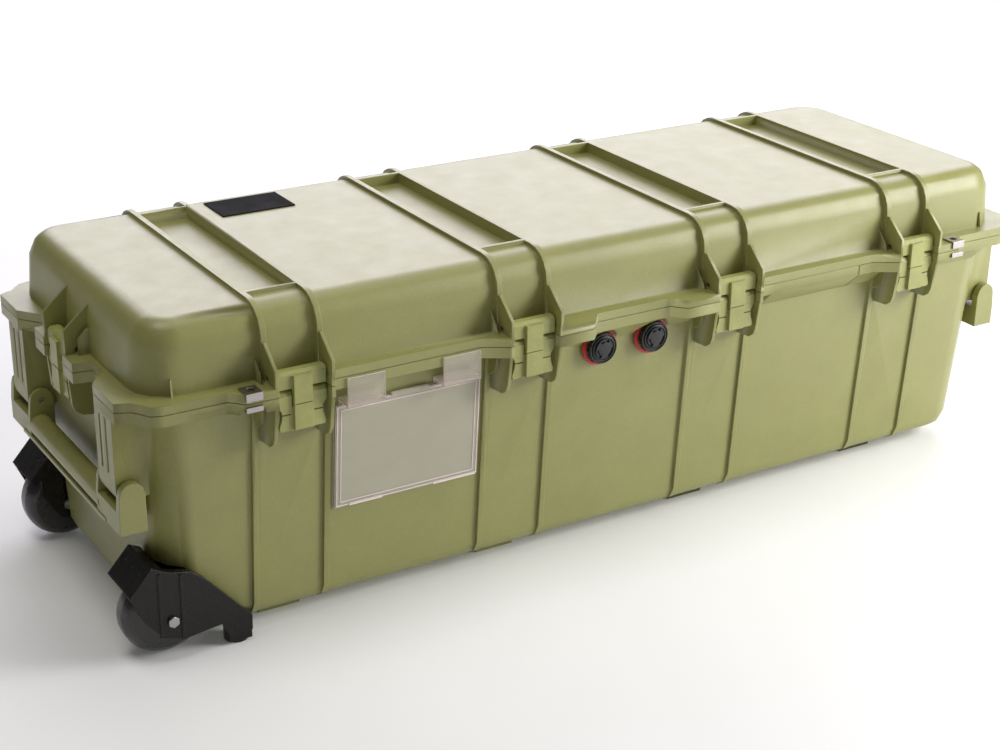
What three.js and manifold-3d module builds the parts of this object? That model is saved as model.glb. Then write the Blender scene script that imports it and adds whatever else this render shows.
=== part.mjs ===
// A long wheeled equipment case: a drafted tub and a shallow lid that meet on flanges, with
// four pairs of moulded ribs, four front latches, two end latches, fold-down end handles,
// two wheels in corner housings, purge valves and a clear document holder.
// Millimetres. +Z is up, +X runs along the case away from the wheels, the latches face -Y.
// The origin is on the floor under the middle of the case.
import * as THREE from 'three';
import { mergeVertices } from 'three/addons/utils/BufferGeometryUtils.js';
import Module from 'manifold-3d';

const wasm = await Module();
wasm.setup();

// ---- driving dimensions --------------------------------------------------------------------
const PAD_X = 560; // corner pads, half the overall length
const LID_TOP_Z = 347; // flat top of the lid
const BAR_TOP_Z = 351; // stacking bars and ribs on the lid, the overall height
const PARTING_Z = 269; // where tub and lid meet
const PARTING_GAP = 0.3; // half the gap between the two flanges
const FLANGE_H = 11.7; // tub flange height
const LID_FLANGE_H = 9.3; // lid flange height
const WALL = 4.5;

const TUB_TOP = { x: 534, y: 171, r: 42 }; // half sizes and corner radius under the flange
const TUB_FLOOR = { x: 519, y: 155.5, r: 36 };
const TUB_FLOOR_Z = 13;
const TUB_EDGE_R = 18;
const LID_BASE = { x: 537, y: 175, r: 42 };
const LID_TOP = { x: 531, y: 171, r: 38 };
const LID_EDGE_R = 24;
const LID_CEILING_Z = 333;

const PAIR_PITCH = 257; // four rib pairs along the case
const PAIR_SHIFT = -2; // the pairs sit a little towards the wheels
const PAIR_X = [-1.5, -0.5, 0.5, 1.5].map((n) => n * PAIR_PITCH + PAIR_SHIFT);
const RIB_IN = 26; // lid rib, inner and outer face from the pair's centre
const RIB_OUT = 32;
const FIN_IN = 27.5; // latch guard fins
const FIN_OUT = 31;
const TUB_RIB_IN = 35.5;
const TUB_RIB_OUT = 41.5;
const RIB_TOP_Y = 178.5; // outer face of the lid ribs
const RIB_BEND = 31.5; // keeps the ribs a low bead round the lid's edge
const RECESS_FLOOR_Z = 339;
const RECESS_HALF_Y = 131;
const BAR_W = 4;

const FRONT_FLANGE_Y = 190; // flange between the latch blocks
const BLOCK_Y = 205; // flange blocks beside each latch
const BACK_FLANGE_Y = 186;
// Left and right block of each latch: where its flat face ends and where it meets the flange,
// from the latch's centre. The bays without blocks leave the flange free for a document holder.
const BLOCKS = [
  { left: [59, 73], right: [31.2, 31.4] },
  { left: [31.5, 57], right: [69, 83] },
  { left: [69, 83], right: [31.2, 31.4] },
  { left: [31.5, 57], right: [59, 73] },
];
const END_NECK_X = 541; // end flange between the pads
const PAD_IN_Y = 109;
const PAD_OUT_Y = 162;

const FIN_TOP_Z = 316;
const FIN_CORNER_Z = 295;
const END_FIN_X = 558;
const END_FIN_TOP_Z = 327;
const END_FIN_CORNER_Z = 303.5;
const EAR_LOW_Z = 211; // foot of the tub's latch ears
const GUSSET = [36, 38]; // small gusset outside each left latch fin
const NIB_X = [-509.5, 502]; // nibs at the foot of the lid's front corners
const SKIRT = { foot: 238, end: 500, pocket: 40 }; // slope under the front flange, open beside the ears
const BAY_NOTCH = { x0: 170, x1: 183 }; // pocket in the skirt right of the third latch
const BAY_STEP = { x0: 183, x1: 307, deep: 0.7 }; // shallow panel in the same bay

const LATCH_PIVOT_Z = 282.3;
const FRONT_PIVOT_Y = 187;
const END_PIVOT_X = 546;
const LATCH_HALF_W = 25.5;
const NOTCH_DEPTH = 7.5; // flange notch edge behind the latch pivot
const PIN_R = 2.5;
const LEVER_PIN_R = 2;
const LEVER_PIN = { y: -4.5, z: -17.3 }; // from the latch pivot
const CLEAR = 0.3;

const HINGE_Y = 197;
const HINGE_R = 7;
const HINGE_PIN_R = 3;
const HINGE_LUG_IN = 20;
const HINGE_LUG_OUT = 29;

const HANDLE_PIVOT = { x: 546, z: 180 };
const BRACKET_Y = [103, 147];
const BRACKET_FACE_X = 558;
const CHEEK_IN_Y = [96.5, 101.5];
const CHEEK_OUT_Y = [149, 157.5];
const HANDLE_X = [533, 560];
const HANDLE_Z = [139, 163];
const HANDLE_CHEEK_R = 12.5;
const GRIP = { x: 549, z: 152.5, r: 12 };
const HANDLE_PIN_R = 3;

const WHEEL = { x: 519, y: 141.5, z: 45, r: 43.5, half: 18 };
const AXLE_R = 5;
const BOLT_HEAD_R = 6;
const GRIP_SCALLOPS_Y = [-160, -143, -126]; // finger scallops on the hood
const HOUSING_RIBS = [
  [-531, 30, 99],
  [-509, 24, 93],
]; // upright ribs on the outer face: x, foot, top
const WELL = { x: 466, y: 113, z: 98 };
const HOUSING_Y = [164, 172];
const HOUSING_IN_Y = [117.8, 121.4];
const NUT_Y = [113.8, 117.5];

const KNOB = { x: 33, z: 233.5, r: 17.5, ring: 22.9, seal: 19.2, back: 175.3, face: 184 };
const VALVE_R = 8;

const HOLDER = { x0: -342, x1: -176, z0: 117, z1: 233 };
const HOLDER_TAB = { y0: 190.6, y1: 192.6, z0: 240, z1: 267 };

const PADLOCK = { x: 440, y: 197, half: 8.5, hole: 4.5, flange: 6.2 }; // flange: what is left of the tub's
const LABEL = { x0: -337, x1: -253, y0: 91, y1: 143 };

// ---- materials -----------------------------------------------------------------------------
const OLIVE = { color: 0x8d8c5c, roughness: 0.55, metalness: 0 };
const BLACK = { color: 0x1b1a18, roughness: 0.45, metalness: 0 };
const WHEEL_BLACK = { color: 0x141413, roughness: 0.3, metalness: 0 };
const STEEL = { color: 0xb9b4ad, roughness: 0.3, metalness: 1 };
const RED = { color: 0xc2273c, roughness: 0.5, metalness: 0 };
const CLEAR_PLASTIC = { color: 0xd9d6c4, roughness: 0.15, metalness: 0, transparent: true, opacity: 0.5 };
const FOAM = { color: 0x2b2c2e, roughness: 0.95, metalness: 0 };
const SEAL = { color: 0x202020, roughness: 0.8, metalness: 0 };
const LABEL_BLACK = { color: 0x18181a, roughness: 0.4, metalness: 0 };

// ---- solids --------------------------------------------------------------------------------
function solid(geometry) {
  const plain = geometry.clone();
  plain.deleteAttribute('normal');
  plain.deleteAttribute('uv');
  const merged = mergeVertices(plain, 1e-4);
  return new wasm.Manifold(
    new wasm.Mesh({
      numProp: 3,
      vertProperties: merged.attributes.position.array,
      triVerts: new Uint32Array(merged.index.array),
    }),
  );
}

function geometryOf(body) {
  const made = body.getMesh();
  const geometry = new THREE.BufferGeometry();
  geometry.setAttribute('position', new THREE.BufferAttribute(made.vertProperties, 3));
  geometry.setIndex(new THREE.BufferAttribute(made.triVerts, 1));
  geometry.computeVertexNormals();
  return geometry;
}

const join = (...bodies) => bodies.flat().reduce((a, b) => a.add(b));
const cut = (body, ...tools) => tools.flat().reduce((a, b) => a.subtract(b), body);

function extruded(points, depth) {
  const shape = new THREE.Shape(points.map(([u, v]) => new THREE.Vector2(u, v)));
  return new THREE.ExtrudeGeometry(shape, { depth, bevelEnabled: false });
}

// Prisms: the outline is given in the other two axes, in X, Y, Z order.
function prismZ(points, z0, z1) {
  return solid(extruded(points, z1 - z0).translate(0, 0, z0));
}

function prismX(points, x0, x1) {
  const turn = new THREE.Matrix4().set(0, 0, 1, x0, 1, 0, 0, 0, 0, 1, 0, 0, 0, 0, 0, 1);
  return solid(extruded(points, x1 - x0).applyMatrix4(turn));
}

function prismY(points, y0, y1) {
  const swapped = points.map(([x, z]) => [z, x]);
  const turn = new THREE.Matrix4().set(0, 1, 0, 0, 0, 0, 1, y0, 1, 0, 0, 0, 0, 0, 0, 1);
  return solid(extruded(swapped, y1 - y0).applyMatrix4(turn));
}

function box(x0, x1, y0, y1, z0, z1) {
  const geometry = new THREE.BoxGeometry(x1 - x0, y1 - y0, z1 - z0);
  return solid(geometry.translate((x0 + x1) / 2, (y0 + y1) / 2, (z0 + z1) / 2));
}

// Round bars: rodX runs along X at (y, z), rodY along Y at (x, z), rodZ along Z at (x, y).
function rodX(x0, x1, y, z, r, sides = 16) {
  const geometry = new THREE.CylinderGeometry(r, r, x1 - x0, sides).rotateZ(Math.PI / 2);
  return solid(geometry.translate((x0 + x1) / 2, y, z));
}

function rodY(y0, y1, x, z, r, sides = 16) {
  return solid(new THREE.CylinderGeometry(r, r, y1 - y0, sides).translate(x, (y0 + y1) / 2, z));
}

function rodZ(z0, z1, x, y, r, sides = 16) {
  const geometry = new THREE.CylinderGeometry(r, r, z1 - z0, sides).rotateX(Math.PI / 2);
  return solid(geometry.translate(x, y, (z0 + z1) / 2));
}

function arc(cu, cv, r, fromDeg, toDeg, steps) {
  return Array.from({ length: steps + 1 }, (_, i) => {
    const angle = THREE.MathUtils.degToRad(fromDeg + ((toDeg - fromDeg) * i) / steps);
    return [cu + r * Math.cos(angle), cv + r * Math.sin(angle)];
  });
}

const CORNER_STEPS = 4;
function roundedRect(halfX, halfY, r) {
  const corners = [
    [halfX - r, halfY - r, 0],
    [r - halfX, halfY - r, 90],
    [r - halfX, r - halfY, 180],
    [halfX - r, r - halfY, 270],
  ];
  return corners.flatMap(([x, y, start]) => arc(x, y, r, start, start + 90, CORNER_STEPS));
}

// A closed body through rings of equal point counts, lowest first.
function loft(rings) {
  const n = rings[0].points.length;
  const position = rings.flatMap(({ points, z }) => points.flatMap(([x, y]) => [x, y, z]));
  const index = [];
  for (let k = 0; k + 1 < rings.length; k += 1) {
    for (let i = 0; i < n; i += 1) {
      const [a, b] = [k * n + i, k * n + ((i + 1) % n)];
      index.push(a, b, b + n, a, b + n, a + n);
    }
  }
  const top = (rings.length - 1) * n;
  for (let i = 1; i + 1 < n; i += 1) {
    index.push(0, i + 1, i, top, top + i, top + i + 1);
  }
  const geometry = new THREE.BufferGeometry();
  geometry.setAttribute('position', new THREE.Float32BufferAttribute(position, 3));
  geometry.setIndex(index);
  return solid(geometry);
}

const mix = (a, b, t) => a + (b - a) * t;

// Half sizes of a drafted box at height z, shrunk by inset.
function drafted(low, lowZ, high, highZ, z, inset) {
  const t = (z - lowZ) / (highZ - lowZ);
  const r = Math.max(mix(low.r, high.r, t) - inset, 4);
  return { z, points: roundedRect(mix(low.x, high.x, t) - inset, mix(low.y, high.y, t) - inset, r) };
}

const ROUND_ANGLES = [0, 25, 50, 90].map(THREE.MathUtils.degToRad);
const tubWall = (z, inset) => drafted(TUB_FLOOR, TUB_FLOOR_Z, TUB_TOP, PARTING_Z - FLANGE_H, z, inset);
const lidWall = (z, inset) => drafted(LID_BASE, PARTING_Z, LID_TOP, LID_TOP_Z, z, inset);
const tubHeight = PARTING_Z - FLANGE_H - TUB_FLOOR_Z;
const tubWallY = (z) => mix(TUB_FLOOR.y, TUB_TOP.y, (z - TUB_FLOOR_Z) / tubHeight);

const mesh = (name, body, look) => {
  const made = new THREE.Mesh(geometryOf(body), new THREE.MeshStandardMaterial(look));
  made.name = name;
  return made;
};

// ---- flange outline ------------------------------------------------------------------------
function frontEdge() {
  return PAIR_X.flatMap((c, i) => {
    const { left, right } = BLOCKS[i];
    return [
      [c - left[1], -FRONT_FLANGE_Y],
      [c - left[0], -BLOCK_Y],
      [c + right[0], -BLOCK_Y],
      [c + right[1], -FRONT_FLANGE_Y],
    ];
  });
}

// Half of one end, from the middle of the end outwards to a corner whose long side is at sideY.
function endHalf(sideY) {
  return [
    [PAD_X, 35],
    [PAD_X, 54],
    [END_NECK_X, 57],
    [END_NECK_X, 84],
    [PAD_X, PAD_IN_Y],
    [PAD_X, PAD_OUT_Y],
    [546, 168],
    [END_NECK_X, 174],
    [534, sideY - 4],
    [522, sideY],
  ];
}

function flangeOutline() {
  const back = endHalf(BACK_FLANGE_Y);
  const front = endHalf(FRONT_FLANGE_Y);
  return [
    ...frontEdge(),
    ...front.toReversed().map(([x, y]) => [x, -y]),
    ...back,
    ...back.toReversed().map(([x, y]) => [-x, y]),
    ...front.map(([x, y]) => [-x, -y]),
  ];
}

// Openings in a flange that let the latches pass.
function latchNotches(z0, z1) {
  const front = PAIR_X.map((c) => box(c - 27, c + 27, -230, NOTCH_DEPTH - FRONT_PIVOT_Y, z0, z1));
  const edge = END_PIVOT_X - NOTCH_DEPTH;
  return [...front, box(-600, -edge, -27, 27, z0, z1), box(edge, 600, -27, 27, z0, z1)];
}

// Pockets under the tub flange for the lower padlock plates.
const padlockPockets = () =>
  [-1, 1].map((s) => {
    const [x0, x1] = s < 0 ? [-PADLOCK.x - 12, -PADLOCK.x + 12] : [PADLOCK.x - 12, PADLOCK.x + 12];
    return box(x0, x1, -230, -186, 240, PARTING_Z - PADLOCK.flange);
  });

const padlockHoles = (r, z0, z1) => [-1, 1].map((s) => rodZ(z0, z1, s * PADLOCK.x, -PADLOCK.y, r, 12));

// Each side of a pair: [inner, outer] turned into x ranges either side of centre c.
const bothSides = (c, inner, outer) => [
  [c - outer, c - inner],
  [c + inner, c + outer],
];

// ---- tub -----------------------------------------------------------------------------------
function tubBody() {
  const rounded = ROUND_ANGLES.map((a) =>
    tubWall(TUB_FLOOR_Z + TUB_EDGE_R * (1 - Math.cos(a)), TUB_EDGE_R * (1 - Math.sin(a))),
  );
  return loft([...rounded, tubWall(PARTING_Z - FLANGE_H + 1, 0)]);
}

// The wells follow the wheels: a flat roof, then a slope down to the tub's floor.
function wheelWells(grow) {
  const outline = [
    [-620, -30],
    [-WELL.x + grow, -30],
    [-WELL.x + grow, 52 + grow],
    [-484 + grow, 78 + grow],
    [-500 + grow * 0.6, WELL.z - 6 + grow],
    [-520, WELL.z - 3 + grow],
    [-620, WELL.z + grow],
  ];
  return [-1, 1].map((side) => {
    const [y0, y1] = side < 0 ? [-250, grow - WELL.y] : [WELL.y - grow, 250];
    return prismY(outline, y0, y1);
  });
}

function tubCavity() {
  const edge = TUB_EDGE_R - WALL;
  const floor = TUB_FLOOR_Z + WALL;
  const rounded = ROUND_ANGLES.map((a) =>
    tubWall(floor + edge * (1 - Math.cos(a)), WALL + edge * (1 - Math.sin(a))),
  );
  return cut(loft([...rounded, tubWall(PARTING_Z + 5, WALL)]), wheelWells(WALL));
}

// Vertical ribs on the long walls, which follow the draft and the rounded floor edge.
function tubRibs() {
  const top = PARTING_Z - FLANGE_H + 1;
  const proud = 3.2;
  const low = tubWallY(30);
  const high = tubWallY(top);
  const outline = [
    [-high - proud, top],
    [-low - proud, 32],
    [-low + 3, 19],
    [-low + 14, 12],
    [low - 14, 12],
    [low - 3, 19],
    [low + proud, 32],
    [high + proud, top],
  ];
  return PAIR_X.flatMap((c) =>
    bothSides(c, TUB_RIB_IN, TUB_RIB_OUT).map(([x0, x1]) => prismX(outline, x0, x1)),
  );
}

// Rails under the floor that sit in the lid recesses of a case below.
const stackingRails = () => PAIR_X.map((c) => box(c - 23, c + 23, -127, 127, 0, TUB_FLOOR_Z + 2));

// Ears either side of each latch, under the flange; reach is measured outwards from the centre.
function earOutline(reach, lowReach, wall) {
  return [
    [-wall, PARTING_Z - PARTING_GAP],
    [-reach, PARTING_Z - PARTING_GAP],
    [-lowReach, EAR_LOW_Z + 14],
    [-lowReach + 3, EAR_LOW_Z + 7],
    [-lowReach + 10, EAR_LOW_Z + 2],
    [-wall, EAR_LOW_Z],
  ];
}

function latchEars() {
  const front = PAIR_X.flatMap((c) =>
    bothSides(c, FIN_IN, FIN_OUT).map(([x0, x1]) => prismX(earOutline(BLOCK_Y, 199, 167), x0, x1)),
  );
  const left = bothSides(0, FIN_IN, FIN_OUT).map(([y0, y1]) =>
    prismY(earOutline(END_FIN_X, 555, 531), y0, y1),
  );
  return [...front, ...left, ...left.map((ear) => ear.mirror([1, 0, 0]))];
}

// Catch bars that the latch hooks close against.
function latchCatches() {
  const [out, back] = [NOTCH_DEPTH - 1.2, NOTCH_DEPTH + 6];
  const [z0, z1] = [246, PARTING_Z - FLANGE_H + 1];
  const [y0, y1] = [out - FRONT_PIVOT_Y, back - FRONT_PIVOT_Y + 5];
  const front = PAIR_X.map((c) => box(c - 20, c + 20, y0, y1, z0, z1));
  const [x0, x1] = [END_PIVOT_X - back - 2, END_PIVOT_X - out];
  return [...front, box(-x1, -x0, -20, 20, z0, z1), box(x0, x1, -20, 20, z0, z1)];
}

// Hinge lug outline in (y, z); up = 1 is the lid's, up = -1 the tub's.
function hingeLugOutline(up) {
  const flangeEdge = PARTING_Z + up * (up > 0 ? LID_FLANGE_H : FLANGE_H);
  const gap = PARTING_Z + up * PARTING_GAP;
  const boss = arc(HINGE_Y, PARTING_Z, HINGE_R, 180, 180 + up * 270, 9);
  return [[178, gap], ...boss, [BACK_FLANGE_Y, flangeEdge], [178, flangeEdge]];
}

const tubHingeLugs = () =>
  PAIR_X.flatMap((c) =>
    bothSides(c, HINGE_LUG_IN, HINGE_LUG_OUT).map(([x0, x1]) => prismX(hingeLugOutline(-1), x0, x1)),
  );

const hingeBores = () =>
  PAIR_X.map((c) => rodX(c - 40, c + 40, HINGE_Y, PARTING_Z, HINGE_PIN_R + CLEAR, 12));

// Ribbed brackets that carry the handle pivots under each corner pad, left end.
function handleBrackets() {
  const top = PARTING_Z - FLANGE_H + 1;
  const outline = [
    [-525, top],
    [-BRACKET_FACE_X, top],
    [-BRACKET_FACE_X, HANDLE_PIVOT.z],
    ...arc(-HANDLE_PIVOT.x, HANDLE_PIVOT.z, 12, 180, 300, 5),
    [-525, HANDLE_PIVOT.z - 8],
  ];
  const slots = [116, 131].map((y) => box(-600, 8 - BRACKET_FACE_X, -y - 2, -y + 2, 196, 251));
  const bore = rodY(-200, 0, -HANDLE_PIVOT.x, HANDLE_PIVOT.z, HANDLE_PIN_R + CLEAR, 10);
  const one = cut(prismY(outline, -BRACKET_Y[1], -BRACKET_Y[0]), slots, bore);
  return [one, one.mirror([0, 1, 0])];
}

// Slope from the front flange back to the wall, in the bays right of the second latch.
function frontSkirts() {
  const outline = [
    [-166, PARTING_Z - FLANGE_H + 1],
    [-FRONT_FLANGE_Y, PARTING_Z - FLANGE_H + 1],
    [-FRONT_FLANGE_Y, PARTING_Z - FLANGE_H],
    [-170, SKIRT.foot],
    [-166, SKIRT.foot],
  ];
  const spans = [
    [PAIR_X[1] + FIN_OUT, PAIR_X[2] - SKIRT.pocket],
    [PAIR_X[2] + FIN_OUT, PAIR_X[3] - SKIRT.pocket],
    [PAIR_X[3] + FIN_OUT, SKIRT.end],
  ];
  const rounds = [-1, 1].map((s) => rodY(-230, -170.8, s * KNOB.x, KNOB.z, KNOB.ring, 28));
  return cut(join(spans.map(([x0, x1]) => prismX(outline, x0, x1))), rounds);
}

// A web under the flange outside each latch's left ear.
function earWebs() {
  const outline = [
    [-167, PARTING_Z - FLANGE_H + 1],
    [-FRONT_FLANGE_Y, PARTING_Z - FLANGE_H + 1],
    [-FRONT_FLANGE_Y, 256.5],
    [-186.5, 238.3],
    [-172.6, 228.9],
    [-167, 228],
  ];
  return PAIR_X.map((c) => prismX(outline, c - GUSSET[1], c - GUSSET[0]));
}

// The small pocket and the shallow panel in the bay right of the third latch.
function bayMarks() {
  const { x0, x1 } = BAY_NOTCH;
  const notch = [
    [x0, 256.4],
    [x1, 257.2],
    [x1, 242],
    [x0 + 1, 249],
  ];
  const [wall, out] = [-170 + BAY_STEP.deep, -FRONT_FLANGE_Y + BAY_STEP.deep];
  const panel = [
    [out, PARTING_Z + 1],
    [out, PARTING_Z - FLANGE_H],
    [wall, SKIRT.foot],
    [-230, SKIRT.foot],
    [-230, PARTING_Z + 1],
  ];
  return [prismY(notch, -230, -175), prismX(panel, BAY_STEP.x0, BAY_STEP.x1)];
}

const valveHoles = () => [-1, 1].map((s) => rodY(-190, -150, s * KNOB.x, KNOB.z, VALVE_R + 0.4, 20));

function baseShell() {
  const left = handleBrackets();
  const right = left.map((bracket) => bracket.mirror([1, 0, 0]));
  const flange = prismZ(flangeOutline(), PARTING_Z - FLANGE_H, PARTING_Z - PARTING_GAP);
  const plain = join(tubBody(), tubRibs(), stackingRails(), latchCatches(), handleFill());
  const notched = cut(join(plain, flange), latchNotches(PARTING_Z - FLANGE_H - 1, PARTING_Z + 1));
  const under = [frontSkirts(), ...earWebs(), ...latchEars(), ...latchCatches()];
  const full = join(notched, under, tubHingeLugs(), left, right);
  return cut(
    full,
    tubCavity(),
    wheelWells(0),
    hingeBores(),
    valveHoles(),
    padlockPockets(),
    padlockHoles(PADLOCK.hole + 0.3, 240, 300),
    bayMarks(),
  );
}

// Backing under each corner pad, between the wall and the pad edge.
function handleFill() {
  return [-1, 1].flatMap((sx) =>
    [-1, 1].map((sy) => {
      const [x0, x1] = sx < 0 ? [-END_NECK_X, -500] : [500, END_NECK_X];
      const [y0, y1] = sy < 0 ? [-140, -110] : [110, 140];
      return box(x0, x1, y0, y1, PARTING_Z - FLANGE_H - 3, PARTING_Z - FLANGE_H + 1);
    }),
  );
}

// ---- lid -----------------------------------------------------------------------------------
function lidBody() {
  const rounded = ROUND_ANGLES.toReversed().map((a) =>
    lidWall(LID_TOP_Z - LID_EDGE_R * (1 - Math.cos(a)), LID_EDGE_R * (1 - Math.sin(a))),
  );
  return loft([lidWall(PARTING_Z + PARTING_GAP, 0), ...rounded]);
}

function lidCavity() {
  const edge = 14;
  const rounded = ROUND_ANGLES.toReversed().map((a) => {
    const inset = 8 + edge * (1 - Math.sin(a));
    return lidWall(LID_CEILING_Z - edge * (1 - Math.cos(a)), inset);
  });
  return loft([lidWall(PARTING_Z - 5, 8), ...rounded]);
}

function lidRibs() {
  const low = PARTING_Z + PARTING_GAP;
  const bend = RIB_BEND;
  const outline = [
    [-169, low],
    [-RIB_TOP_Y, low],
    ...arc(bend - RIB_TOP_Y, BAR_TOP_Z - bend, bend, 180, 90, 5),
    ...arc(RIB_TOP_Y - bend, BAR_TOP_Z - bend, bend, 90, 0, 5),
    [RIB_TOP_Y, low],
    [169, low],
    [168, 325],
    [150, 341],
    [-150, 341],
    [-168, 325],
  ];
  return PAIR_X.flatMap((c) =>
    bothSides(c, RIB_IN, RIB_OUT).map(([x0, x1]) => prismX(outline.toReversed(), x0, x1)),
  );
}

const stackingBars = () =>
  PAIR_X.flatMap((c) =>
    [-1, 1].map((s) => {
      const y = s * (RECESS_HALF_Y + BAR_W / 2);
      return box(c - RIB_IN - 1, c + RIB_IN + 1, y - BAR_W / 2, y + BAR_W / 2, 341, BAR_TOP_Z);
    }),
  );

const stackingRecesses = () =>
  PAIR_X.map((c) => box(c - RIB_IN, c + RIB_IN, -RECESS_HALF_Y, RECESS_HALF_Y, RECESS_FLOOR_Z, 400));

function lidFins() {
  const low = PARTING_Z + PARTING_GAP;
  const front = [
    [-169, low],
    [-169, FIN_TOP_Z - 2],
    [-181, FIN_TOP_Z],
    [-BLOCK_Y, FIN_CORNER_Z],
    [-BLOCK_Y, low],
  ];
  const gusset = [
    [-169, low],
    [-169, 302],
    [-174, 300],
    [-185.5, 288],
    [-188.1, 278],
    [-188.1, low],
  ];
  const endGusset = [
    [-528, low],
    [-528, 305],
    [-538, 305],
    [-547, 296],
    [-547, low],
  ];
  const nib = [
    [-168, low],
    [-168, 295],
    [-173.8, 295],
    [-176.4, 279],
    [-176.4, low],
  ];
  const end = [
    [-531, low],
    [-531, END_FIN_TOP_Z],
    [-END_FIN_X, END_FIN_CORNER_Z],
    [-END_FIN_X, low],
  ];
  const fronts = PAIR_X.flatMap((c) =>
    bothSides(c, FIN_IN, FIN_OUT).map(([x0, x1]) => prismX(front, x0, x1)),
  );
  const gussets = PAIR_X.map((c) => prismX(gusset, c - GUSSET[1], c - GUSSET[0]));
  const nibs = NIB_X.map((x) => prismX(nib, x, x + 2));
  const left = bothSides(0, FIN_IN, FIN_OUT).map(([y0, y1]) => prismY(end, y0, y1));
  left.push(prismY(endGusset, -GUSSET[1], -GUSSET[0]));
  return [...fronts, ...gussets, ...nibs, ...left, ...left.map((fin) => fin.mirror([1, 0, 0]))];
}

function latchPinBores() {
  const r = PIN_R + CLEAR;
  const front = PAIR_X.map((c) => rodX(c - 35, c + 35, -FRONT_PIVOT_Y, LATCH_PIVOT_Z, r, 10));
  const ends = [-1, 1].map((s) => rodY(-35, 35, s * END_PIVOT_X, LATCH_PIVOT_Z, r, 10));
  return [...front, ...ends];
}

// The seal runs round the lid's underside in a channel.
const SEAL_SECTION = { x: 535.2, y: 172.2, r: 41, width: 3.6, z0: 269, z1: 273.4 };
function sealRing(grow, z0, z1) {
  const { x, y, r, width } = SEAL_SECTION;
  const outer = roundedRect(x + grow, y + grow, r + grow);
  const inner = roundedRect(x - width - grow, y - width - grow, r - width - grow);
  return cut(prismZ(outer, z0, z1), prismZ(inner, z0 - 1, z1 + 1));
}

const lidHingeLugs = () =>
  PAIR_X.map((c) => prismX(hingeLugOutline(1), c - HINGE_LUG_IN + 0.6, c + HINGE_LUG_IN - 0.6));

function lidShell() {
  const low = PARTING_Z + PARTING_GAP;
  const flange = prismZ(flangeOutline(), low, PARTING_Z + LID_FLANGE_H);
  const body = join(cut(flange, latchNotches(low - 1, PARTING_Z + LID_FLANGE_H + 1)), lidBody());
  const proud = join(body, lidRibs(), stackingBars(), lidFins(), lidHingeLugs());
  return cut(
    proud,
    lidCavity(),
    stackingRecesses(),
    latchPinBores(),
    hingeBores(),
    sealRing(CLEAR, low - 1, SEAL_SECTION.z1 + CLEAR),
    padlockHoles(PADLOCK.hole + 0.3, 240, 300),
  );
}

// ---- latches, drawn about their pivot with the front facing -Y --------------------------------
const BAND_Z = [-10.3, 6.7]; // full-width top band of the hook
const FACE_Y = -10; // front face from the pivot
const PANEL = 9.6; // raised panel down the middle, half width
const PANEL_R = 12; // its lower end on the hook is round about the lever pin
function latchHook() {
  const band = [
    [FACE_Y, BAND_Z[0]],
    [4.8, BAND_Z[0]],
    ...arc(0, 0, 6.6, -45, 85, 5),
    [-7, BAND_Z[1]],
    [FACE_Y, BAND_Z[1] - 3],
  ];
  const strap = [
    [0.8, -9],
    [0.8, -47],
    [5.2, -47],
    [5.2, -38],
    [4.9, -9],
  ];
  const knuckle = rodX(-10, 10, LEVER_PIN.y, LEVER_PIN.z, 4.5, 12);
  const web = box(-10, 10, LEVER_PIN.y, 2, LEVER_PIN.z - 3, LEVER_PIN.z + 3);
  const whole = join(
    prismX(band, -LATCH_HALF_W, LATCH_HALF_W),
    box(-PANEL, PANEL, FACE_Y - 3.5, FACE_Y + 1, LEVER_PIN.z, BAND_Z[1] - 4),
    box(-PANEL, PANEL, FACE_Y - 3.5, -3, -32, LEVER_PIN.z).intersect(
      rodX(-PANEL, PANEL, LEVER_PIN.y, LEVER_PIN.z, PANEL_R, 24),
    ),
    box(-PANEL, PANEL, FACE_Y + 0.5, -3, LEVER_PIN.z - 1, BAND_Z[0] + 1),
    prismX(strap.toReversed(), -17, 17),
    knuckle,
    web,
  );
  return cut(
    whole,
    rodX(-30, 30, 0, 0, PIN_R + CLEAR, 10),
    rodX(-30, 30, LEVER_PIN.y, LEVER_PIN.z, LEVER_PIN_R + CLEAR, 10),
  );
}

function latchLever() {
  const hip = LATCH_HALF_W;
  const waist = 21.5;
  const half = [
    [hip, -17],
    [hip, -27],
    [waist, -33],
    [waist, -40],
    [hip - 1, -49],
    [hip - 2, -53],
  ];
  const outline = [...half, ...half.toReversed().map(([x, z]) => [-x, z])];
  const plate = prismY(outline, FACE_Y, FACE_Y + 3.5);
  const gap = join(
    box(-10.6, 10.6, -40, 20, LEVER_PIN.z, 0),
    rodX(-10.6, 10.6, LEVER_PIN.y, LEVER_PIN.z, PANEL_R + 0.5, 24),
  );
  const knuckles = bothSides(0, 10.6, hip).map(([x0, x1]) => rodX(x0, x1, LEVER_PIN.y, LEVER_PIN.z, 5, 12));
  const panel = cut(box(-PANEL, PANEL, FACE_Y - 3.5, FACE_Y + 1, -52, -20), gap);
  const slits = bothSides(0, 12, 30).map(([x0, x1]) => box(x0, x1, -20, 0, -36.8, -35.6));
  const whole = cut(join(cut(plate, gap), knuckles, panel), slits);
  return cut(whole, rodX(-30, 30, LEVER_PIN.y, LEVER_PIN.z, LEVER_PIN_R + CLEAR, 10));
}

const latchPin = () => rodX(-30.6, 30.6, 0, 0, PIN_R, 10);
const leverPin = () => rodX(-25.2, 25.2, LEVER_PIN.y, LEVER_PIN.z, LEVER_PIN_R, 10);

function latchPlaces() {
  const front = PAIR_X.map((c) => ({ x: c, y: -FRONT_PIVOT_Y, turn: 0 }));
  return [
    ...front,
    { x: -END_PIVOT_X, y: 0, turn: -Math.PI / 2 },
    { x: END_PIVOT_X, y: 0, turn: Math.PI / 2 },
  ];
}

const LATCH_NAMES = ['front_1', 'front_2', 'front_3', 'front_4', 'end_left', 'end_right'];

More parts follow.
